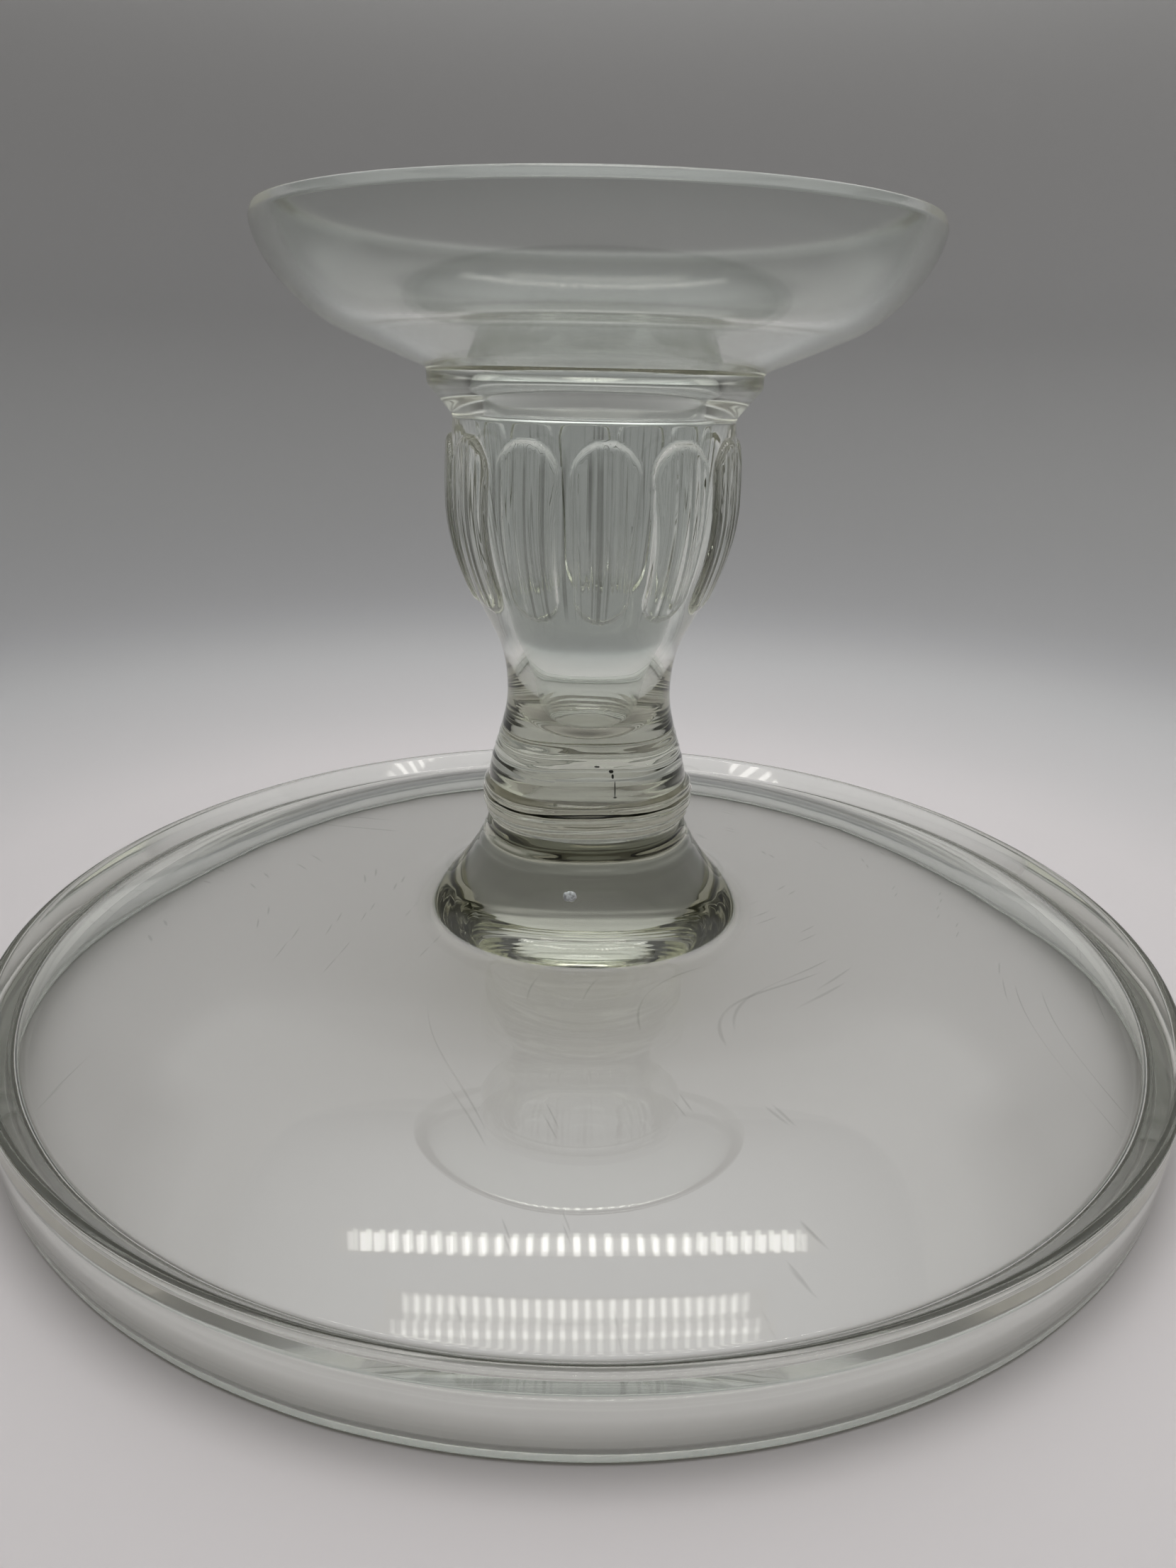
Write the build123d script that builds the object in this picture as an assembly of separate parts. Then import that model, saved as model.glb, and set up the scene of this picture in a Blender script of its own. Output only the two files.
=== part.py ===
"""Footed cake stand in clear pressed glass, standing upside down on the rim of its plate.

Three pieces of glass share the Z axis and were joined hot: the plate with the flared boss under
its middle, the wafer between them, and the pedestal, whose fluted hollow bowl opens into a wide
foot. Heights run up from the table that the plate's rim stands on.
"""

import os
from math import cos, radians, sin, tan

from build123d import *

# Plate: a shallow dish with an upright rim, turned over
plate_radius = 152.4
rim_height = 20.6
rim_wall = 5.2
rim_draft = 1.3
rim_foot_bevel = 1.0
rim_crest_width = 2.2
rim_crest_bevel = 0.7
skirt_width = 7.5
skirt_depth = 5.7
dome_rise = 15.0
dome_edge_slope = 24.0
plate_glass = 5.2
dish_corner_bevel = 2.5

# Boss under the middle of the plate
boss_foot_radius = 41.5
boss_height = 24.2
boss_foot_slope = 45.0
joint_radius = 26.1

# Wafer of glass between the boss and the stem
wafer_height = 10.2
wafer_edge_lean = 55.0

# Pedestal: each rise is taken from the level before it, starting at the top of the wafer
neck_radius = 21.1
neck_rise = 23.0
flare_radius = 24.7
flare_rise = 16.4
flare_slope = 62.0
tulip_radius = 34.7
tulip_rise = 32.0
shoulder_tuck = 0.9
shoulder_rise = 18.6
cove_width = 5.9
cove_rise = 6.9
cove_rounding = 3.4
ledge_step = 3.4
ledge_bevel = 0.7

# Foot: a wide saucer above the ledge
foot_cone_width = 17.9
foot_cone_slope = 21.7
foot_saucer_width = 19.0
foot_saucer_rise = 24.08
foot_edge_depth = 2.2
foot_edge_bevel = 0.8
foot_lip_width = 4.0
foot_lip_bevel = 0.8
foot_glass = 4.6

# Hollow of the pedestal, open at the foot
tulip_glass = 7.3
hollow_mouth_flare = 2.0
hollow_mouth_bevel = 3.5
hollow_side_slope = 83.0
hollow_waist_radius = 14.6
hollow_waist_drop = 45.7
hollow_waist_slope = 78.0
hollow_floor_radius = 7.4
hollow_floor_drop = 14.2
hollow_floor_slope = 25.0

# Flutes: raised pillow panels round the tulip
panel_count = 12
panel_turn = 4.75
panel_angle = 25.5
panel_rise = 1.3
panel_root = 1.5
panel_foot_rise = 6.2
panel_top_drop = 4.0
panel_foot_width = 12.4
panel_bevel = 0.7

# Heights and radii worked out from the sizes above
groove_height = rim_height - skirt_depth
dome_height = groove_height + dome_rise
joint_height = dome_height + boss_height
stem_height = joint_height + wafer_height
neck_height = stem_height + neck_rise
flare_height = neck_height + flare_rise
tulip_height = flare_height + tulip_rise
shoulder_height = tulip_height + shoulder_rise
shoulder_radius = tulip_radius - shoulder_tuck
ledge_height = shoulder_height + cove_rise
ledge_radius = shoulder_radius + cove_width
foot_cone_radius = ledge_radius + foot_cone_width
foot_cone_height = ledge_height + ledge_step + foot_cone_width * tan(radians(foot_cone_slope))
foot_radius = foot_cone_radius + foot_saucer_width
foot_height = foot_cone_height + foot_saucer_rise
hollow_radius = tulip_radius - tulip_glass
hollow_waist_height = tulip_height - hollow_waist_drop
hollow_floor_height = hollow_waist_height - hollow_floor_drop


def bend(start, start_angle, end, end_angle, pull=0.35):
    """Smooth curve that leaves start and reaches end in the given directions, in degrees."""
    reach = pull * (Vector(*end) - Vector(*start)).length
    leave = Vector(*start) + reach * Vector(cos(radians(start_angle)), sin(radians(start_angle)))
    arrive = Vector(*end) - reach * Vector(cos(radians(end_angle)), sin(radians(end_angle)))
    return Bezier(start, leave, arrive, end)


def rounded(outline, roundings):
    """Round the corners of a flat outline, given as a list of (corner, radius)."""
    for corner, radius in roundings:
        vertex = min(outline.vertices(), key=lambda v: (Vector(*v) - Vector(*corner)).length)
        outline = fillet(vertex, radius)
    return outline


def beveled(points, bevels):
    """Cut corners off a line through the given points, given as a {corner: size}."""
    line = []
    for before, corner, after in zip(points[:1] + points, points, points[1:] + points[-1:]):
        if corner in bevels:
            for other in (before, after):
                along = (Vector(*other) - Vector(*corner)).normalized()
                line.append(tuple(Vector(*corner) + bevels[corner] * along)[:2])
        else:
            line.append(corner)
    return Polyline(line)


def turned(outline):
    """Turn an outline of radius and height once round the Z axis."""
    return revolve(Plane.XZ * outline, Axis.Z)


def serving_plate():
    """Plate with its rim, its shallow dome and the flared boss in the middle."""
    rim_foot = (plate_radius - rim_draft, 0)
    crest = (plate_radius, rim_height)
    crest_inside = (plate_radius - rim_crest_width, rim_height)
    groove = (plate_radius - skirt_width, groove_height)
    boss_foot = (boss_foot_radius, dome_height)
    boss_top = (joint_radius, joint_height)
    dish_middle = (boss_foot_radius, dome_height - plate_glass)
    wall_inside = plate_radius - rim_draft - rim_wall
    rim_foot_inside = (wall_inside, 0)
    dish_corner = (wall_inside, groove_height - plate_glass - dish_corner_bevel)
    dish_edge = (wall_inside - dish_corner_bevel,
                 groove_height - plate_glass + dish_corner_bevel * tan(radians(dome_edge_slope)))

    outline = Line((0, dish_middle[1]), dish_middle)
    outline += bend(dish_middle, 0, dish_edge, -dome_edge_slope)
    outline += beveled(
        [dish_edge, dish_corner, rim_foot_inside, rim_foot, crest, crest_inside, groove],
        {rim_foot_inside: rim_foot_bevel, rim_foot: rim_foot_bevel,
         crest: rim_crest_bevel, crest_inside: rim_crest_bevel})
    outline += bend(groove, 180 - dome_edge_slope, boss_foot, 180)
    outline += bend(boss_foot, 180 - boss_foot_slope, boss_top, 96, pull=0.28)
    outline += Polyline(boss_top, (0, joint_height), (0, dish_middle[1]))
    return turned(make_face(outline))


def joining_wafer():
    """Disc of glass with a bulging edge, squeezed between the boss and the stem."""
    low = (joint_radius, joint_height)
    high = (joint_radius, stem_height)
    outline = Polyline(high, (0, stem_height), (0, joint_height), low)
    outline += bend(low, 90 - wafer_edge_lean, high, 90 + wafer_edge_lean)
    return turned(make_face(outline))


def tulip_side(proud=0.0):
    """Convex side of the tulip from the flare to the shoulder, or a line proud of it."""
    flare = (flare_radius + proud, flare_height)
    widest = (tulip_radius + proud, tulip_height)
    shoulder = (shoulder_radius + proud, shoulder_height)
    return bend(flare, flare_slope, widest, 90) + bend(widest, 90, shoulder, 95)


def pedestal_body():
    """Stem, tulip, ledge and foot with the hollow inside, still without the flutes."""
    stem_foot = (joint_radius, stem_height)
    neck = (neck_radius, neck_height)
    flare = (flare_radius, flare_height)
    shoulder = (shoulder_radius, shoulder_height)
    ledge_low = (ledge_radius, ledge_height)
    ledge_high = (ledge_radius, ledge_height + ledge_step)
    cone_end = (foot_cone_radius, foot_cone_height)
    edge = (foot_radius, foot_height - foot_edge_depth)
    lip_outside = (foot_radius - foot_edge_bevel, foot_height)
    lip_inside = (lip_outside[0] - foot_lip_width, foot_height)
    saucer_edge = (lip_inside[0] - foot_lip_bevel, foot_height - foot_lip_bevel)

    inner_cone_end = (foot_cone_radius - foot_glass * sin(radians(foot_cone_slope)),
                      foot_cone_height + foot_glass * cos(radians(foot_cone_slope)))
    mouth_radius = hollow_radius + hollow_mouth_flare
    mouth_drop = (inner_cone_end[0] - mouth_radius - hollow_mouth_bevel) * tan(radians(foot_cone_slope))
    mouth_top = (mouth_radius + hollow_mouth_bevel, inner_cone_end[1] - mouth_drop)
    mouth_low = (mouth_radius, mouth_top[1] - 1.5 * hollow_mouth_bevel)
    hollow_side = (hollow_radius, tulip_height)
    waist = (hollow_waist_radius, hollow_waist_height)
    floor_corner = (hollow_floor_radius, hollow_floor_height)

    outline = Line((0, stem_height), stem_foot)
    outline += bend(stem_foot, 97, neck, 90)
    outline += bend(neck, 90, flare, flare_slope)
    outline += tulip_side()
    outline += beveled([shoulder, ledge_low, ledge_high, cone_end],
                       {ledge_low: ledge_bevel, ledge_high: ledge_bevel})
    outline += bend(cone_end, foot_cone_slope, edge, 86, pull=0.31)
    outline += Polyline(edge, lip_outside, lip_inside, saucer_edge)
    outline += bend(saucer_edge, -94, inner_cone_end, 180 + foot_cone_slope, pull=0.31)
    outline += Polyline(inner_cone_end, mouth_top, mouth_low)
    outline += bend(mouth_low, -90, hollow_side, hollow_side_slope - 180)
    outline += bend(hollow_side, hollow_side_slope - 180, waist, hollow_waist_slope - 180)
    outline += bend(waist, hollow_waist_slope - 180, floor_corner, hollow_floor_slope - 180, pull=0.42)
    outline += Polyline(floor_corner, (0, hollow_floor_height), (0, stem_height))
    return turned(rounded(make_face(outline), [(shoulder, cove_rounding)]))


def flute_panel():
    """One raised panel facing +X: a slice of the tulip's side under a tall round-ended window."""
    low = flare_height + panel_foot_rise
    high = shoulder_height - panel_top_drop
    foot_half = panel_foot_width / 2
    top_half = (tulip_radius + panel_rise) * sin(radians(panel_angle / 2))
    window = make_face(Polyline(
        (-foot_half, low), (foot_half, low), (top_half, high), (-top_half, high), close=True))
    window = rounded(window, [
        ((-foot_half, low), 0.9 * foot_half),
        ((foot_half, low), 0.9 * foot_half),
        ((top_half, high), 0.9 * top_half),
        ((-top_half, high), 0.9 * top_half),
    ])
    bar = extrude(Plane.YZ * window, tulip_radius + 2 * panel_rise)

    outside = tulip_side(panel_rise)
    inside = tulip_side(-panel_root)
    band = outside + Line(outside @ 1, inside @ 1) + inside + Line(inside @ 0, outside @ 0)
    panel = turned(make_face(band)) & bar
    face_edges = panel.faces().sort_by(Axis.X)[-1].edges()
    return chamfer(face_edges, panel_bevel)


def pedestal():
    """Pedestal body with the flutes round it."""
    panel = flute_panel()
    turns = [panel_turn - 90 + i * 360 / panel_count for i in range(panel_count)]
    return pedestal_body() + [Rot(0, 0, turn) * panel for turn in turns]


os.makedirs("parts", exist_ok=True)
for name, piece in {
    "serving_plate": serving_plate(),
    "joining_wafer": joining_wafer(),
    "pedestal": pedestal(),
}.items():
    export_step(piece, f"parts/{name}.step")
    print(name, round(piece.volume), piece.bounding_box().size)
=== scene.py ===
# Clear pressed-glass cake stand, upside down on a pale table, under a soft ceiling and rows of lamps

from math import cos, dist, hypot, pi, radians, sin, sqrt, tan

import bmesh
import bpy
from mathutils import Matrix, Vector


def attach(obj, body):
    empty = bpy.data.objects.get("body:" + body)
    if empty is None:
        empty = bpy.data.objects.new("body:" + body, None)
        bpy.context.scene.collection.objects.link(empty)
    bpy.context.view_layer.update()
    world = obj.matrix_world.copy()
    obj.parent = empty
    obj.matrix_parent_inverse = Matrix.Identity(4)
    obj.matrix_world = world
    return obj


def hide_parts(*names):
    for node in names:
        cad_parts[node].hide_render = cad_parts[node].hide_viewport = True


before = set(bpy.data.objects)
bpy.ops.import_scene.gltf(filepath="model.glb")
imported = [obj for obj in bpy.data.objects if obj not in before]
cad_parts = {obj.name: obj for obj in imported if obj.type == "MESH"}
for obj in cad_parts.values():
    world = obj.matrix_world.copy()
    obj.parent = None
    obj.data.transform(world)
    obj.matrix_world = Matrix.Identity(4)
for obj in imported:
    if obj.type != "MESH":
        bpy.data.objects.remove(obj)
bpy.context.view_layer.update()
scene = bpy.context.scene
scene.view_settings.view_transform = "Standard"

# Light crosses many faces of the glass before it gets out
bounces = 40
scene.cycles.max_bounces = bounces
scene.cycles.transmission_bounces = bounces
scene.cycles.glossy_bounces = bounces


# sRGB hex code to a linear colour
def linear(code):
    parts = [int(code[i:i + 2], 16) / 255 for i in (1, 3, 5)]
    return [c / 12.92 if c <= 0.04045 else ((c + 0.055) / 1.055) ** 2.4 for c in parts] + [1]


# How many times a pattern of this size in millimetres fits in a metre
def perMetre(size):
    return 1000 / size


# Node with its settings, its inputs being values or links from other nodes
def addNode(owner, kind, inputs=(), **settings):
    node = owner.node_tree.nodes.new(kind)
    for key, value in settings.items():
        setattr(node, key, value)
    for key, value in dict(inputs).items():
        if isinstance(value, bpy.types.NodeSocket):
            owner.node_tree.links.new(value, node.inputs[key])
        else:
            node.inputs[key].default_value = value
    return node


def emptyMaterial(name):
    material = bpy.data.materials.new(name)
    material.use_nodes = True
    material.node_tree.nodes.clear()
    return material


# The pattern fades out past each limit, given as where it is measured, the end and the full value
def keptWithin(material, pattern, limits):
    for where, end, full in limits:
        inside = addNode(material, "ShaderNodeMapRange",
                         {"Value": where, "From Min": end, "From Max": full})
        pattern = addNode(material, "ShaderNodeMath",
                          {0: pattern.outputs[0], 1: inside.outputs[0]}, operation="MULTIPLY")
    return pattern


# Smooth curve that leaves start and reaches end in the given directions, in degrees
def bend(start, startAngle, end, endAngle, pull=0.35, steps=28):
    reach = pull * dist(start, end)
    leave = (start[0] + reach * cos(radians(startAngle)), start[1] + reach * sin(radians(startAngle)))
    arrive = (end[0] - reach * cos(radians(endAngle)), end[1] - reach * sin(radians(endAngle)))
    return bezier(start, leave, arrive, end, steps)


def bezier(a, b, c, d, steps):
    line = []
    for i in range(steps + 1):
        t = i / steps
        u = 1 - t
        line.append(tuple(u**3 * p + 3 * u * u * t * q + 3 * u * t * t * r + t**3 * s
                          for p, q, r, s in zip(a, b, c, d)))
    return line


# A line with this length taken off its end
def shortened(line, length):
    line = list(line)
    while length > 0:
        last = line.pop()
        gap = dist(last, line[-1])
        if gap > length:
            line.append(tuple(p + (q - p) * length / gap for p, q in zip(last, line[-1])))
        length -= gap
    return line


# Legs of an outline end to end; the number before a leg is how far its corner is rounded back
def joined(first, *rest):
    line = list(first)
    for setback, leg in zip(rest[::2], rest[1::2]):
        if setback:
            corner = leg[0]
            start = shortened(line, setback)[-1]
            end = shortened(leg[::-1], setback)[-1]
            leave = tuple(p + 0.6 * (q - p) for p, q in zip(start, corner))
            arrive = tuple(p + 0.6 * (q - p) for p, q in zip(end, corner))
            line = shortened(line, 1.25 * setback) + bezier(start, leave, arrive, end, 8)
            leg = [end] + shortened(leg[::-1], 1.25 * setback)[::-1]
        line += leg[1:]
    return line


# Object from an outline of (radius, height) in millimetres, turned once round the Z axis; swell
# says how far the skin stands out at a radius, height and angle
def turned(name, outline, count, swell=None):
    points, rings, faces = [], [], []
    for radius, height in outline:
        if radius < 1e-6:
            rings.append([len(points)] * count)
            points.append((0, 0, height / 1000))
            continue
        rings.append(list(range(len(points), len(points) + count)))
        for i in range(count):
            angle = 2 * pi * i / count
            r = (radius + (swell(radius, height, angle) if swell else 0)) / 1000
            points.append((r * cos(angle), r * sin(angle), height / 1000))
    for low, high, start, end in zip(rings, rings[1:], outline, outline[1:]):
        if start == end:
            continue
        for i in range(count):
            j = (i + 1) % count
            face = [low[i], low[j], high[j], high[i]]
            if low[i] == low[j]:
                face = [low[i], high[j], high[i]]
            if high[i] == high[j]:
                face = [low[i], low[j], high[i]]
            faces.append(face)
    mesh = bpy.data.meshes.new(name)
    mesh.from_pydata(points, [], faces)
    mesh.polygons.foreach_set("use_smooth", [True] * len(faces))
    mesh.update()
    piece = bpy.data.objects.new(name, mesh)
    scene.collection.objects.link(piece)
    return piece


# Soda-lime glass, pressed in an iron mould and fire-polished: glossy and clear, with a trace of
# sage green that gathers in the thick parts and the faint ripple that the mould leaves
glassLook = {
    "face": "#FAFDFB", "body": "#898932", "density": 8.5, "ior": 1.5,
    "ripple": 18.18, "rippleDepth": 0.03,            # mm
    "shadow": "#F4F4F4", "rimShadow": "#9C9C96",
    # The dark mark tone also serves as painted shade along the foot of the plate's rim, where it meets the
    # table, and the rim's rubbed roughness also sets how strong that painted shade is
    "markAndShade": "#5A5A50", "cord": 0.65, "scratch": 0.28,  # tone and strength of the cords and scratches
    "worn": 0.065, "rubbedAndShaded": 0.55,                   # roughness of the used foot and of the plate's rim
    "leakAfter": 12.5,                               # bounces
}
joints = (54.1, 64.3)  # heights at which the boss, the wafer and the stem were melted together


def pressedGlass(name, look):
    material = emptyMaterial(name)
    place = addNode(material, "ShaderNodeTexCoord").outputs["Object"]
    ripple = addNode(material, "ShaderNodeTexNoise",
                     {"Vector": place, "Scale": perMetre(look["ripple"]), "Detail": 1.5, "Roughness": 0.4})
    bump = addNode(material, "ShaderNodeBump",
                   {"Height": ripple.outputs["Fac"], "Strength": 1.0,
                    "Distance": look["rippleDepth"] / 1000})
    height = addNode(material, "ShaderNodeSeparateXYZ", {0: place}).outputs["Z"]
    flat = addNode(material, "ShaderNodeVectorMath", {0: place, 1: (1, 1, 0)}, operation="MULTIPLY")
    outward = addNode(material, "ShaderNodeVectorMath",
                      {0: flat.outputs[0]}, operation="LENGTH").outputs["Value"]

    # The saucer of the foot is a little hazy from use, and the rim is rubbed dull where it stands;
    # the grey along the rim's foot is painted shade where it meets the table
    worn = addNode(material, "ShaderNodeMapRange",
                   {"Value": height, "From Min": 0.1505, "From Max": 0.1555,
                    "To Min": 0.0, "To Max": look["worn"]}, interpolation_type="SMOOTHSTEP")
    rubbedAndShaded = addNode(material, "ShaderNodeMapRange",
                     {"Value": height, "From Min": 0.0012, "From Max": 0.0007,
                      "To Min": 0.0, "To Max": look["rubbedAndShaded"]})
    soft = addNode(material, "ShaderNodeMath",
                   {0: worn.outputs[0], 1: rubbedAndShaded.outputs[0]}, operation="MAXIMUM")

    # Fine upright cords in the flutes, where the glass ran down the mould; at the tulip they are
    # about 1.2 mm apart, and they change over 83 mm of height
    around = addNode(material, "ShaderNodeVectorMath", {0: flat.outputs[0]}, operation="NORMALIZE")
    rising = addNode(material, "ShaderNodeVectorMath",
                     {0: place, 1: (0, 0, perMetre(83.33))}, operation="MULTIPLY")
    drawnOut = addNode(material, "ShaderNodeVectorMath",
                       {0: around.outputs[0], 1: (30, 30, 30), 2: rising.outputs[0]},
                       operation="MULTIPLY_ADD")
    strands = addNode(material, "ShaderNodeTexNoise",
                      {"Vector": drawnOut.outputs[0], "Scale": 1.0, "Detail": 1.0, "Roughness": 0.5})
    cords = addNode(material, "ShaderNodeMapRange",
                    {"Value": strands.outputs["Fac"], "From Min": 0.57, "From Max": 0.66,
                     "To Min": 0.0, "To Max": look["cord"]})
    cords = keptWithin(material, cords, (
        (outward, 0.0275, 0.0300), (height, 0.104, 0.112), (height, 0.150, 0.144)))

    # Short scratches from use on the plate, in cells of 10.5 by 77 mm that drift every which way;
    # real ones are finer, and these are as coarse as they need to be to show
    drift = addNode(material, "ShaderNodeTexNoise",
                    {"Vector": place, "Scale": perMetre(111.11), "Detail": 0})
    drifted = addNode(material, "ShaderNodeVectorMath",
                      {0: drift.outputs["Color"], 1: (0.2, 0.2, 0), 2: place}, operation="MULTIPLY_ADD")
    lengthwise = addNode(material, "ShaderNodeVectorMath",
                         {0: drifted.outputs[0], 1: (perMetre(10.526), perMetre(76.92), 0)},
                         operation="MULTIPLY")
    cells = addNode(material, "ShaderNodeTexVoronoi",
                    {"Vector": lengthwise.outputs[0], "Scale": 1.0}, voronoi_dimensions="2D")
    scratches = addNode(material, "ShaderNodeMapRange",
                        {"Value": cells.outputs["Distance"], "From Min": 0.045, "From Max": 0.02,
                         "To Min": 0.0, "To Max": look["scratch"]})
    scratches = keptWithin(material, scratches, (
        (outward, 0.044, 0.050), (outward, 0.142, 0.138), (height, 0.034, 0.033)))

    # The marks darken the glass: the cords and scratches, and at the rim's foot a painted shade
    markedAndShaded = cords
    for markAndShade in (scratches, rubbedAndShaded):
        markedAndShaded = addNode(material, "ShaderNodeMath",
                         {0: markedAndShaded.outputs[0], 1: markAndShade.outputs[0]}, operation="MAXIMUM")
    cast = addNode(material, "ShaderNodeMix",
                   {"Factor": markedAndShaded.outputs[0], 6: linear(look["face"]), 7: linear(look["markAndShade"])},
                   data_type="RGBA")
    glass = addNode(material, "ShaderNodeBsdfPrincipled",
                    {"Base Color": cast.outputs[2], "Roughness": soft.outputs[0], "IOR": look["ior"],
                     "Transmission Weight": 1.0, "Normal": bump.outputs["Normal"]})

    # Lamp light and light bounced off the table pass straight through, dimmed most by the rim
    rim = addNode(material, "ShaderNodeMapRange",
                  {"Value": outward, "From Min": 0.141, "From Max": 0.1445})
    passing = addNode(material, "ShaderNodeMix",
                      {"Factor": rim.outputs[0], 6: linear(look["shadow"]), 7: linear(look["rimShadow"])},
                      data_type="RGBA")
    through = addNode(material, "ShaderNodeBsdfTransparent", {"Color": passing.outputs[2]})
    light = addNode(material, "ShaderNodeLightPath")
    straight = addNode(material, "ShaderNodeMath",
                       {0: light.outputs["Is Shadow Ray"], 1: light.outputs["Is Diffuse Ray"]},
                       operation="MAXIMUM")
    # Light caught between the faces leaks out again after a while
    leaks = addNode(material, "ShaderNodeMath",
                    {0: light.outputs["Ray Depth"], 1: look["leakAfter"]}, operation="GREATER_THAN")
    passes = addNode(material, "ShaderNodeMath",
                     {0: straight.outputs[0], 1: leaks.outputs[0]}, operation="MAXIMUM")
    skin = addNode(material, "ShaderNodeMixShader",
                   {0: passes.outputs[0], 1: glass.outputs[0], 2: through.outputs[0]})

    # Where the pieces were melted together there is no surface inside the glass
    low, high = (addNode(material, "ShaderNodeMath",
                         {0: height, 1: joint / 1000, 2: 0.00003}, operation="COMPARE")
                 for joint in joints)
    melted = addNode(material, "ShaderNodeMath",
                     {0: low.outputs[0], 1: high.outputs[0]}, operation="MAXIMUM")
    clear = addNode(material, "ShaderNodeBsdfTransparent")
    surface = addNode(material, "ShaderNodeMixShader",
                      {0: melted.outputs[0], 1: skin.outputs[0], 2: clear.outputs[0]})
    tinge = addNode(material, "ShaderNodeVolumeAbsorption",
                    {"Color": linear(look["body"]), "Density": look["density"]})
    addNode(material, "ShaderNodeOutputMaterial",
            {"Surface": surface.outputs[0], "Volume": tinge.outputs[0]})
    return material


glass = pressedGlass("pressed_clear_glass", glassLook)
print("glass: body tone", glassLook["body"])


# Serving plate, turned over, with the boss under its middle; sizes in millimetres and degrees
plate = {
    "radius": 152.4, "rimHeight": 20.6, "rimWall": 5.2, "rimDraft": 1.3, "crestWidth": 2.2,
    "skirtWidth": 7.5, "grooveHeight": 14.9, "domeHeight": 29.9, "domeEdgeSlope": 24, "domePull": 0.42,
    "glass": 5.2, "dishPull": 0.47,
    "dishCorner": 3.0, "footCorner": 1.2, "crestCorner": 0.9, "grooveCorner": 1.3, "bossCorner": 7.0,
    "bossFootRadius": 41.5, "bossFootSlope": 45, "bossPull": 0.28, "jointRadius": 26.1,
    "jointHeight": 54.1,
    "rimWobble": 0.02, "neckLow": 43, "neckRing": 0.12, "neckRingPitch": 2.9,
}


def plateOutline(p):
    foot = p["radius"] - p["rimDraft"]
    inside = foot - p["rimWall"]
    crest = (p["radius"], p["rimHeight"])
    crestInside = (p["radius"] - p["crestWidth"], p["rimHeight"])
    middle = (p["bossFootRadius"], p["domeHeight"] - p["glass"])
    corner = (inside, p["grooveHeight"] - p["glass"])
    groove = (p["radius"] - p["skirtWidth"], p["grooveHeight"])
    bossFoot = (p["bossFootRadius"], p["domeHeight"])
    joint = (p["jointRadius"], p["jointHeight"])
    return joined(
        [(0, middle[1]), (middle[0] / 2, middle[1]), middle],
        0, bend(middle, 0, corner, -p["domeEdgeSlope"], p["dishPull"], steps=40),
        p["dishCorner"], [corner, (inside, 0)],
        p["footCorner"], [(inside, 0), (foot, 0)],
        p["footCorner"], [(foot, 0), crest],
        p["crestCorner"], [crest, crestInside],
        p["crestCorner"], [crestInside, groove],
        p["grooveCorner"], bend(groove, 180 - p["domeEdgeSlope"], bossFoot, 180, p["domePull"], steps=40),
        p["bossCorner"], bend(bossFoot, 180 - p["bossFootSlope"], joint, 96, p["bossPull"]),
    ) + [joint, (0, joint[1])]


# Fine uneven rings that the shears and the squeezing left round the soft glass
def ridge(height, angle, pitch):
    return sin(2 * pi * height / pitch + 1.5 * sin(2 * angle + 1) + 0.7 * sin(5 * angle))


# The pressed rim is never quite round, and the neck of the boss is drawn out in soft rings
def plateSwell(radius, height, angle):
    if radius > 145:
        return plate["rimWobble"] * (sin(23 * angle + 0.3 * height) + sin(37 * angle + 1) - 2)
    if not (radius > 20 and plate["neckLow"] < height < plate["jointHeight"]):
        return 0
    share = (height - plate["neckLow"]) / (plate["jointHeight"] - plate["neckLow"])
    return plate["neckRing"] * sin(pi * share) * ridge(height, angle, plate["neckRingPitch"])


servingPlate = turned("serving_plate_glass", plateOutline(plate), 288, plateSwell)
print("serving plate", len(servingPlate.data.vertices))


# Wafer of glass that joins the boss to the stem, a hair thinner than the gap so that it shows no
# double face
wafer = {
    "radius": 26.1, "low": 54.12, "high": 64.28, "lean": 55, "bulge": 2.2,
    "ring": 0.20, "ringPitch": 2.6,
}


def waferOutline(p):
    low, high = (p["radius"], p["low"]), (p["radius"], p["high"])
    edge = bend(low, 90 - p["lean"], high, 90 + p["lean"])
    return [(0, p["low"]), low] + edge + [edge[-1], (0, p["high"])]


# The edge ran out unevenly when the two hot pieces were pressed together
def waferSwell(radius, height, angle):
    bulge = max(radius - wafer["radius"], 0) / wafer["bulge"]
    run = 0.22 * sin(3 * angle + 1) + 0.14 * sin(7 * angle + 0.4) + 0.08 * sin(16 * angle)
    rings = wafer["ring"] * min(2 * bulge, 1) * ridge(height, angle, wafer["ringPitch"])
    return bulge * (run - 0.44) + rings


joiningWafer = turned("joining_wafer_glass", waferOutline(wafer), 288, waferSwell)
print("joining wafer", len(joiningWafer.data.vertices))


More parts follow.
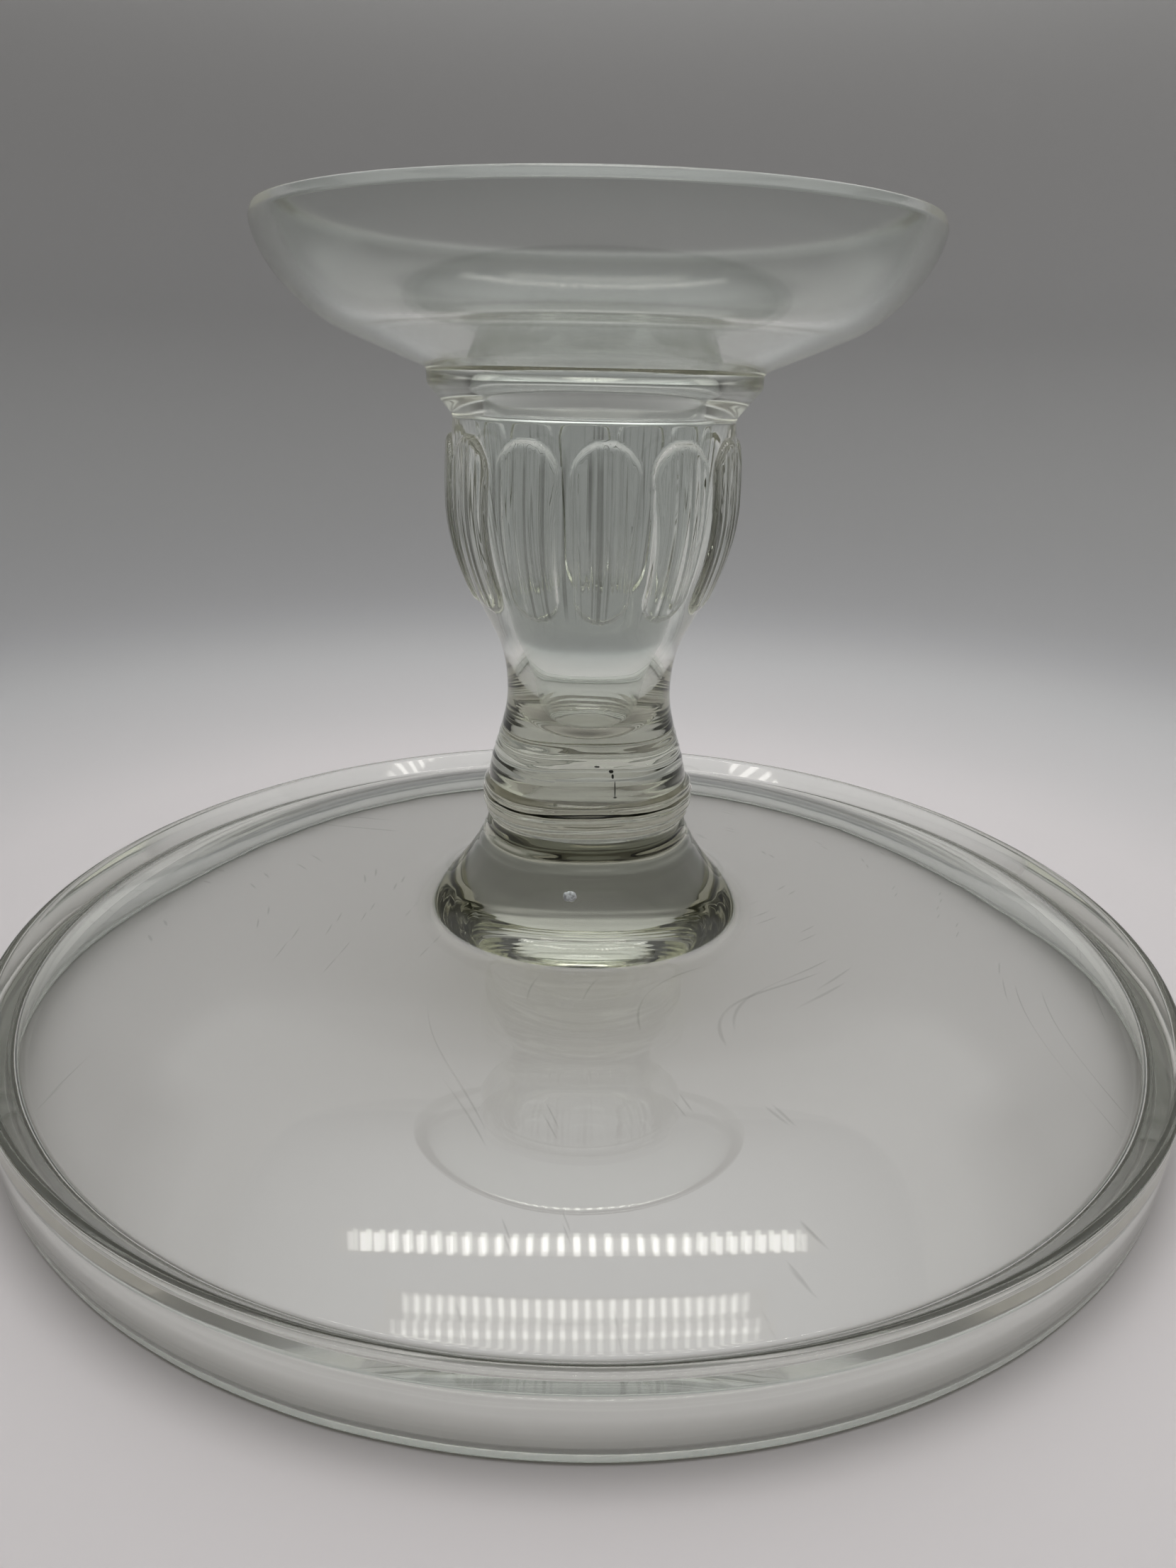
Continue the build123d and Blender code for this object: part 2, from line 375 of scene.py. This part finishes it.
# Pedestal: stem, tulip, ledge and saucer foot, with the hollow that opens into the foot
pedestal = {
    "base": 64.3, "baseRadius": 26.1, "neck": (21.1, 87.3), "flare": (24.7, 103.7), "flareSlope": 62,
    "widest": (34.7, 135.7), "shoulder": (33.8, 154.3), "ledgeRadius": 39.7, "ledgeLow": 161.2,
    "ledgeHigh": 164.6, "coneRadius": 57.6, "coneSlope": 21.7, "footRadius": 76.6, "top": 195.8,
    "edgeDepth": 2.2, "edgeBevel": 0.8, "lipWidth": 4.0, "glass": 4.6, "footPull": 0.31,
    "hollow": (27.4, 135.7), "mouthRadius": 29.4, "hollowSlope": 83,
    "waist": (14.6, 90.0), "waistSlope": 78, "floor": (7.4, 75.8), "floorSlope": 25, "floorPull": 0.42,
    "ledgeCorner": 0.9, "lipCorner": 0.4, "insideCorner": 0.8, "mouthCorner": 3.5,
    "ring": 0.08, "ringPitch": 3.3, "ringTop": 80,
}
flutes = {
    "count": 12, "turn": 4.75, "rise": 1.3, "low": 109.9, "high": 150.3, "footHalf": 6.2,
    "topHalf": 7.86, "edge": 2.0, "streak": 0.08, "streakPitch": (2.9, 1.9),
}


def pedestalOutline(p):
    slope = tan(radians(p["coneSlope"]))
    coneEnd = (p["coneRadius"], p["ledgeHigh"] + (p["coneRadius"] - p["ledgeRadius"]) * slope)
    innerCone = (coneEnd[0] - p["glass"] * sin(radians(p["coneSlope"])),
                 coneEnd[1] + p["glass"] * cos(radians(p["coneSlope"])))
    mouth = (p["mouthRadius"], innerCone[1] - (innerCone[0] - p["mouthRadius"]) * slope)
    ledgeLow = (p["ledgeRadius"], p["ledgeLow"])
    ledgeHigh = (p["ledgeRadius"], p["ledgeHigh"])
    edge = (p["footRadius"], p["top"] - p["edgeDepth"])
    lipOutside = (p["footRadius"] - p["edgeBevel"], p["top"])
    lipInside = (lipOutside[0] - p["lipWidth"], p["top"])
    tulip = bend(p["flare"], p["flareSlope"], p["widest"], 90, steps=64)
    tulip += bend(p["widest"], 90, p["shoulder"], 95, steps=38)[1:]
    return [(0, p["base"]), (p["baseRadius"], p["base"])] + joined(
        bend((p["baseRadius"], p["base"]), 97, p["neck"], 90),
        0, bend(p["neck"], 90, p["flare"], p["flareSlope"]),
        0, tulip,
        p["ledgeCorner"], [p["shoulder"], ledgeLow],
        p["ledgeCorner"], [ledgeLow, ledgeHigh],
        p["ledgeCorner"], [ledgeHigh, coneEnd],
        0, bend(coneEnd, p["coneSlope"], edge, 86, p["footPull"]),
        p["lipCorner"], [edge, lipOutside],
        p["lipCorner"], [lipOutside, lipInside],
        p["insideCorner"], bend(lipInside, -94, innerCone, 180 + p["coneSlope"], p["footPull"]),
        0, [innerCone, mouth],
        p["mouthCorner"], bend(mouth, -90, p["hollow"], p["hollowSlope"] - 180),
        0, bend(p["hollow"], p["hollowSlope"] - 180, p["waist"], p["waistSlope"] - 180, steps=48),
        0, bend(p["waist"], p["waistSlope"] - 180, p["floor"], p["floorSlope"] - 180, p["floorPull"]),
        p["insideCorner"], [p["floor"], (0, p["floor"][1])],
    )


# The foot of the stem has soft rings, and twelve raised flutes stand round the tulip
def pedestalSwell(radius, height, angle):
    p = pedestal
    if height < p["ringTop"] and radius > p["neck"][0] + 0.4:
        share = max(height - p["base"], 0) / (p["ringTop"] - p["base"])
        return p["ring"] * sin(pi * share) * ridge(height, angle, p["ringPitch"])
    if flutes["low"] < height < flutes["high"] and onTulip(radius, height):
        return fluteSwell(radius, height, angle)
    return 0


# Outside of the tulip, and not the wall of the hollow inside it
def onTulip(radius, height):
    return radius > pedestal["hollow"][0] + 2 or height < 118 and radius > 23.5


# One flute is a pillow inside a tall window with round ends, streaked where the glass ran down
def fluteSwell(radius, height, angle):
    f = flutes
    step = 2 * pi / f["count"]
    start = radians(f["turn"] - 90)
    turn = (angle - start + step / 2) % step - step / 2
    side = radius * sin(turn)
    low, high = f["low"] + f["footHalf"], f["high"] - f["topHalf"]
    lean = (f["topHalf"] - f["footHalf"]) / (high - low)
    up, across = height - low, abs(side)
    if up + across * lean / sqrt(1 - lean * lean) < 0:
        inside = f["footHalf"] - hypot(across, up)
    elif up + across * lean > high - low:
        inside = f["topHalf"] - hypot(across, height - high)
    else:
        inside = (f["footHalf"] + up * lean - across) * sqrt(1 - lean * lean)
    pillow = min(max(inside / f["edge"], 0), 1)
    fade = min(max(inside / 2.5, 0), 1)
    number = round((angle - start) / step)
    wide, narrow = (2 * pi * side / pitch for pitch in f["streakPitch"])
    streak = cos(wide + 1.7 * number) + 0.7 * cos(narrow + 2.9 * number)
    return f["rise"] * sqrt(1 - (1 - pillow) ** 2) + f["streak"] * (streak - 1.7) * fade


stemAndFoot = turned("pedestal_glass", pedestalOutline(pedestal), 576, pedestalSwell)
print("pedestal", len(stemAndFoot.data.vertices))

for piece, node in (
        (servingPlate, "serving_plate"), (joiningWafer, "joining_wafer"), (stemAndFoot, "pedestal")):
    piece.data.materials.append(glass)
    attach(piece, "root")
    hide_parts(node)


# What the glass caught while it was hot: one burst bubble in the boss and crumbs of scale from the
# mould in the stem, each with its place and size in millimetres
bubble = {"place": (-3.6, -30.3, 41.6), "size": (3.4, 1.2, 3.0), "tone": "#F2F6FA", "rough": 0.4}
scale = {
    "tone": "#20241A", "rough": 0.6,
    "crumbs": (
        ((2.4, -23.4, 73.6), (1.3, 0.5, 0.45)),
        ((5.9, -23.3, 72.4), (1.2, 0.4, 0.9)),
        ((6.3, -23.5, 71.2), (0.6, 0.3, 1.2)),
        ((6.9, -23.8, 68.0), (0.3, 0.2, 4.2)),
        ((7.0, -24.3, 66.0), (0.9, 0.4, 0.4))),
}


# Matt crust, lighter and darker in grains of 0.6 mm: the frosted wall of the bubble, or iron scale
def crust(name, tone, rough):
    material = emptyMaterial(name)
    place = addNode(material, "ShaderNodeTexCoord")
    grain = addNode(material, "ShaderNodeTexNoise",
                    {"Vector": place.outputs["Object"], "Scale": perMetre(0.625), "Detail": 2})
    grains = addNode(material, "ShaderNodeMapRange",
                     {"Value": grain.outputs["Fac"], "From Min": 0.4, "From Max": 0.6})
    light = linear(tone)
    dark = [0.55 * c for c in light[:3]] + [1]
    colour = addNode(material, "ShaderNodeMix",
                     {"Factor": grains.outputs[0], 6: dark, 7: light}, data_type="RGBA")
    skin = addNode(material, "ShaderNodeBsdfPrincipled",
                   {"Base Color": colour.outputs[2], "Roughness": rough})
    addNode(material, "ShaderNodeOutputMaterial", {"Surface": skin.outputs[0]})
    return material


def lump(name, place, size, material):
    mesh = bpy.data.meshes.new(name)
    ball = bmesh.new()
    bmesh.ops.create_icosphere(ball, subdivisions=3, radius=1)
    for vertex in ball.verts:
        wobble = 1 + 0.12 * sin(5 * vertex.co.x + 2) * cos(4 * vertex.co.z + 1)
        vertex.co = Vector(p + wobble * q * s / 2 for p, q, s in zip(place, vertex.co, size)) / 1000
    ball.to_mesh(mesh)
    ball.free()
    mesh.polygons.foreach_set("use_smooth", [True] * len(mesh.polygons))
    mesh.materials.append(material)
    piece = bpy.data.objects.new(name, mesh)
    scene.collection.objects.link(piece)
    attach(piece, "root")


lump("seed", bubble["place"], bubble["size"], crust("burst_bubble", bubble["tone"], bubble["rough"]))
ironScale = crust("iron_scale", scale["tone"], scale["rough"])
for number, (place, size) in enumerate(scale["crumbs"]):
    lump("scale_%d" % number, place, size, ironScale)
print("caught in the glass", 1 + len(scale["crumbs"]))


# Pale table that curves up into a round studio wall, in millimetres, and its tones by the way
# outwards and then up, in metres
cove = {"floor": 400, "wall": 600, "bend": 200, "height": 820, "pull": 0.39, "tableTop": -0.2}
# The tones grow darker towards the back and up the wall, then turn pale again near its top; the darkening
# is painted shade where the light falls off
coveToneAndShade = (
    (0.00, "#D4CFD0"), (0.22, "#CFCBCC"), (0.28, "#C4C2C3"), (0.35, "#BFBEBF"), (0.40, "#BCBCBD"),
    (0.44, "#B3B3B4"), (0.48, "#A5A5A7"), (0.52, "#9C9C9D"), (0.57, "#989899"), (0.63, "#969696"),
    (0.76, "#999999"), (0.86, "#989797"), (1.00, "#8E8D8C"), (1.07, "#F4F4F4"), (1.42, "#F4F4F4"))
# Painted shade: a dark band round the wall, with its tone and the heights in metres where it starts, is
# full and ends
darkShadeBand = {"tone": "#3C3C37", "low": 0.10, "fullLow": 0.30, "fullHigh": 0.45, "high": 0.65}
daylight = {"reach": 0.5, "left": 0.92, "right": 1.08}


# Matt seamless paper, pale on the table, with painted shade that makes it greyer where it rises behind the
# object
def seamlessPaper(name, tones):
    material = emptyMaterial(name)
    place = addNode(material, "ShaderNodeTexCoord").outputs["Object"]
    split = addNode(material, "ShaderNodeSeparateXYZ", {0: place})
    flat = addNode(material, "ShaderNodeVectorMath", {0: place, 1: (1, 1, 0)}, operation="MULTIPLY")
    outward = addNode(material, "ShaderNodeVectorMath", {0: flat.outputs[0]}, operation="LENGTH")
    way = addNode(material, "ShaderNodeMath",
                  {0: outward.outputs["Value"], 1: split.outputs["Z"]}, operation="ADD")
    longest = tones[-1][0]
    share = addNode(material, "ShaderNodeMath", {0: way.outputs[0], 1: longest}, operation="DIVIDE")
    shade = addNode(material, "ShaderNodeValToRGB", {0: share.outputs[0]})
    stops = shade.color_ramp.elements
    shade.color_ramp.interpolation = "B_SPLINE"
    while len(stops) < len(tones):
        stops.new(0.5)
    for stop, (distance, tone) in zip(stops, tones):
        stop.position = distance / longest
    for stop, (distance, tone) in zip(stops, tones):
        stop.color = linear(tone)

    # A dark band is painted round the wall, except behind the object: painted shade standing for the
    # dark surroundings, which draws dark edges in the glass
    facing = addNode(material, "ShaderNodeMath",
                     {0: split.outputs["Y"], 1: outward.outputs["Value"]}, operation="DIVIDE")
    shadeBand = addNode(material, "ShaderNodeMapRange",
                   {"Value": facing.outputs[0], "From Min": 0.55, "From Max": 0.4})
    shadeBand = keptWithin(material, shadeBand, (
        (split.outputs["Z"], darkShadeBand["low"], darkShadeBand["fullLow"]),
        (split.outputs["Z"], darkShadeBand["high"], darkShadeBand["fullHigh"])))
    toned = addNode(material, "ShaderNodeMix",
                    {"Factor": shadeBand.outputs[0], 6: shade.outputs[0], 7: linear(darkShadeBand["tone"])},
                    data_type="RGBA")

    # The daylight side of the wall, on the right, is a little brighter
    daylit = addNode(material, "ShaderNodeMapRange",
                     {"Value": split.outputs["X"], "From Min": -daylight["reach"],
                      "From Max": daylight["reach"], "To Min": daylight["left"],
                      "To Max": daylight["right"]})
    lit = addNode(material, "ShaderNodeVectorMath",
                  {0: toned.outputs[2], "Scale": daylit.outputs[0]}, operation="SCALE")
    paper = addNode(material, "ShaderNodeBsdfPrincipled",
                    {"Base Color": lit.outputs[0], "Roughness": 0.8, "Specular IOR Level": 0.2})
    addNode(material, "ShaderNodeOutputMaterial", {"Surface": paper.outputs[0]})
    return material


stage = turned("studio_cove", joined(
    [(0, cove["tableTop"]), (cove["floor"] / 2, cove["tableTop"]), (cove["floor"], cove["tableTop"])],
    0, bend((cove["floor"], cove["tableTop"]), 0, (cove["wall"], cove["bend"]), 90, cove["pull"]),
    0, [(cove["wall"], cove["bend"]), (cove["wall"], cove["height"])],
), 128)
stage.data.flip_normals()
stage.data.materials.append(seamlessPaper("seamless_paper", coveToneAndShade))
print("table and wall", len(stage.data.vertices))


# Soft ceiling all over, brightest overhead, and one large lamp that casts the soft shadow
ceiling = {"tone": "#FAFBFC", "from": 0.70, "side": 0.42, "overhead": 1.6}
softLamp = {"tone": "#FFFEFC", "size": 0.8, "power": 6.3, "place": (0.08, -0.05, 1.35)}

world = bpy.data.worlds.new("soft_ceiling")
scene.world = world
world.use_nodes = True
sky = world.node_tree.nodes["Background"]
sky.inputs["Color"].default_value = linear(ceiling["tone"])
direction = addNode(world, "ShaderNodeTexCoord")
rise = addNode(world, "ShaderNodeSeparateXYZ", {0: direction.outputs["Generated"]})
glow = addNode(world, "ShaderNodeMapRange",
               {"Value": rise.outputs["Z"], "From Min": ceiling["from"], "From Max": 1.0,
                "To Min": ceiling["side"], "To Max": ceiling["overhead"]},
               interpolation_type="SMOOTHSTEP")
world.node_tree.links.new(glow.outputs[0], sky.inputs["Strength"])

lamp = bpy.data.lights.new("soft_overhead", "AREA")
lamp.shape = "DISK"
lamp.size = softLamp["size"]
lamp.energy = softLamp["power"]
lamp.color = linear(softLamp["tone"])[:3]
overhead = bpy.data.objects.new("soft_overhead", lamp)
overhead.location = softLamp["place"]
overhead.visible_glossy = False
overhead.visible_transmission = False
scene.collection.objects.link(overhead)


# Rows of small lamps behind frosted covers, which the plate mirrors; in metres, degrees and lamps
# to the metre, with the glow at the lamps and the share of it between them
covers = {"tone": "#FFFDF8", "height": 0.62, "sag": 0.02, "parts": 24, "turn": 1.5, "housingGlow": 1.4,
          "softEnd": 0.04, "softSide": 0.008}
rows = {
    "strip_back": {"y": -0.030, "length": 0.600, "width": 0.044, "lamps": 54, "between": 0.3, "glow": 9.5},
    "strip_middle": {"y": -0.133, "length": 0.465, "width": 0.038, "lamps": 68, "between": 0.45, "glow": 6},
    "strip_front": {"y": -0.166, "length": 0.490, "width": 0.030, "lamps": 68, "between": 0.45, "glow": 6},
}


# Frosted acrylic cover over the lamps: bright spots that run into each other
def frostedAcrylic(name, row):
    material = emptyMaterial(name)
    place = addNode(material, "ShaderNodeTexCoord")
    along = addNode(material, "ShaderNodeSeparateXYZ", {0: place.outputs["Object"]}).outputs["X"]
    side = addNode(material, "ShaderNodeAttribute", attribute_name="across").outputs["Fac"]
    wave = addNode(material, "ShaderNodeMath", {0: along, 1: 2 * pi * row["lamps"]}, operation="MULTIPLY")
    pulse = addNode(material, "ShaderNodeMath", {0: wave.outputs[0]}, operation="COSINE")
    level = addNode(material, "ShaderNodeMapRange",
                    {"Value": pulse.outputs[0], "From Min": -0.4, "From Max": 0.9,
                     "To Min": row["between"] * row["glow"], "To Max": row["glow"]},
                    interpolation_type="SMOOTHSTEP")
    for spot, half, soft in ((along, row["length"] / 2, covers["softEnd"]),
                             (side, row["width"] / 2, covers["softSide"])):
        away = addNode(material, "ShaderNodeMath", {0: spot}, operation="ABSOLUTE")
        inside = addNode(material, "ShaderNodeMapRange",
                         {"Value": away.outputs[0], "From Min": half, "From Max": half - soft},
                         interpolation_type="SMOOTHSTEP")
        level = addNode(material, "ShaderNodeMath",
                        {0: level.outputs[0], 1: inside.outputs[0]}, operation="MULTIPLY")
    # The housing round the row glows about as bright as the ceiling: painted light on a part that is no
    # lamp
    level = addNode(material, "ShaderNodeMath",
                    {0: level.outputs[0], 1: covers["housingGlow"]}, operation="MAXIMUM")
    lit = addNode(material, "ShaderNodeEmission",
                  {"Color": linear(covers["tone"]), "Strength": level.outputs[0]})
    addNode(material, "ShaderNodeOutputMaterial", {"Surface": lit.outputs[0]})
    return material


for name, row in rows.items():
    points, sides, faces = [], [], []
    for i in range(covers["parts"] + 1):
        along = i / covers["parts"] - 0.5
        for side in (-row["width"] / 2, row["width"] / 2):
            points.append((row["length"] * along, covers["sag"] * 4 * along * along + side, 0))
            sides.append(side)
        if i:
            faces.append((2 * i - 2, 2 * i - 1, 2 * i + 1, 2 * i))
    mesh = bpy.data.meshes.new(name)
    mesh.from_pydata(points, [], faces)
    mesh.attributes.new("across", "FLOAT", "POINT").data.foreach_set("value", sides)
    mesh.materials.append(frostedAcrylic("frosted_acrylic_" + name, row))
    strip = bpy.data.objects.new(name, mesh)
    strip.location = (0, row["y"], covers["height"])
    strip.rotation_euler = (0, 0, radians(covers["turn"]))
    scene.collection.objects.link(strip)
print("ceiling, lamp and rows of lamps", len(rows))


# Camera of a hand-held phone, in metres, degrees and millimetres of lens
view = {"place": (0, -0.2795, 0.1633), "pitch": 20.20, "yaw": 0.07, "roll": 1.215, "lens": 25.44}

pitch, yaw, roll = (radians(view[key]) for key in ("pitch", "yaw", "roll"))
forward = Vector((sin(yaw) * cos(pitch), cos(yaw) * cos(pitch), -sin(pitch)))
right = forward.cross(Vector((0, 0, 1))).normalized()
up = right.cross(forward)
across = cos(roll) * right + sin(roll) * up
upward = cos(roll) * up - sin(roll) * right
camera = bpy.data.objects.new("camera", bpy.data.cameras.new("camera"))
camera.data.lens = view["lens"]
camera.data.sensor_width = 36
camera.data.clip_start = 0.01
camera.matrix_world = Matrix((
    (across.x, upward.x, -forward.x, view["place"][0]),
    (across.y, upward.y, -forward.y, view["place"][1]),
    (across.z, upward.z, -forward.z, view["place"][2]),
    (0, 0, 0, 1)))
scene.collection.objects.link(camera)
scene.camera = camera
print("camera", view["lens"])
